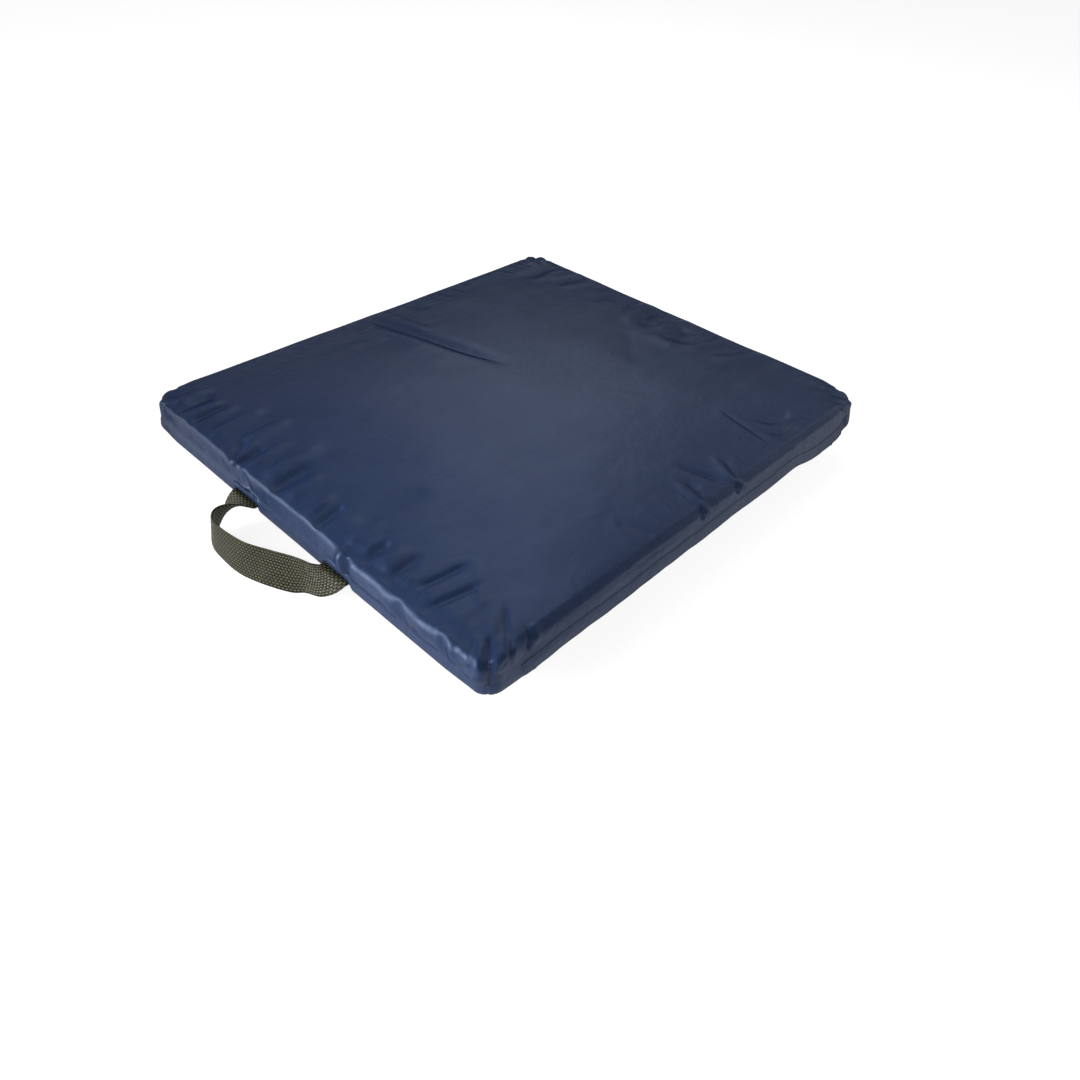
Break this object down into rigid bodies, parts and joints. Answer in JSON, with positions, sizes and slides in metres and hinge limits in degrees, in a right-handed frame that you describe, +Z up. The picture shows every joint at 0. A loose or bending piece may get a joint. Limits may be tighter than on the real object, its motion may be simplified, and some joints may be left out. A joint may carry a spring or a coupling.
{
  "type": "kneeling pad",
  "caption": "Rectangular zipped cushion pad for kneeling or sitting on, in a two-colour nylon cover with a webbing carrying handle on one side.",
  "frame": {"origin": "middle of the flat patch of the underside that the pad rests on", "axes": "+Z up through the pad; -Y towards the side with the handle; +X towards the side with the zip; Y is the longer direction"},
  "size_m": [0.4152, 0.4974, 0.079],
  "materials": {
    "navy_nylon": "coated plain-weave nylon with a soft sheen",
    "grey_nylon": "matt ripstop nylon",
    "black_webbing": "coarse woven polypropylene webbing",
    "zip_tape": "fine woven polyester tape",
    "zip_coil": "moulded nylon coil",
    "dark_metal": "gunmetal lacquered zinc",
    "foam": "open-cell polyurethane foam",
    "wadding": "lofted polyester fibre",
    "navy_thread": "spun polyester thread",
    "grey_thread": "spun polyester thread"
  },
  "bodies": {
    "pad": {"top_cover": "navy_nylon", "bottom_cover": "grey_nylon", "foam_core": "foam", "top_wadding": "wadding", "bottom_wadding": "wadding", "seam_thread": "navy_thread", "top_dart_thread_front_left": "navy_thread", "top_dart_thread_front_right": "navy_thread", "top_dart_thread_back_right": "navy_thread", "top_dart_thread_back_left": "navy_thread", "bottom_dart_thread_front_left": "grey_thread", "bottom_dart_thread_front_right": "grey_thread", "bottom_dart_thread_back_right": "grey_thread", "bottom_dart_thread_back_left": "grey_thread", "handle_tail_left": "black_webbing", "handle_tail_right": "black_webbing", "zip_tape_upper": "zip_tape", "zip_tape_lower": "zip_tape", "zip_coil_upper": "zip_coil", "zip_coil_lower": "zip_coil", "zip_stop_front": "dark_metal", "zip_stop_back_upper": "dark_metal", "zip_stop_back_lower": "dark_metal", "zip_flap": "navy_nylon", "zip_flap_topstitch": "navy_thread", "zip_tape_stitch": "grey_thread"},
    "handle": {"handle_strap": "black_webbing"},
    "zip_slider": {"zip_slider": "dark_metal"},
    "zip_pull": {"zip_pull_tab": "dark_metal"}
  },
  "joints": [
    {"name": "handle_swing", "type": "hinge", "parent": "pad", "child": "handle", "pos_m": [0, -0.2334, 0.0326], "axis": [-1, 0, 0], "range_deg": [0, 90]},
    {"name": "zip_slide", "type": "slide", "parent": "pad", "child": "zip_slider", "axis": [0, -1, 0], "range_m": [0, 0.36]},
    {"name": "zip_pull_swing", "type": "hinge", "parent": "zip_slider", "child": "zip_pull", "pos_m": [0.2071, 0.18, 0.0296], "axis": [0, 0, 1], "range_deg": [0, 160]}
  ]
}
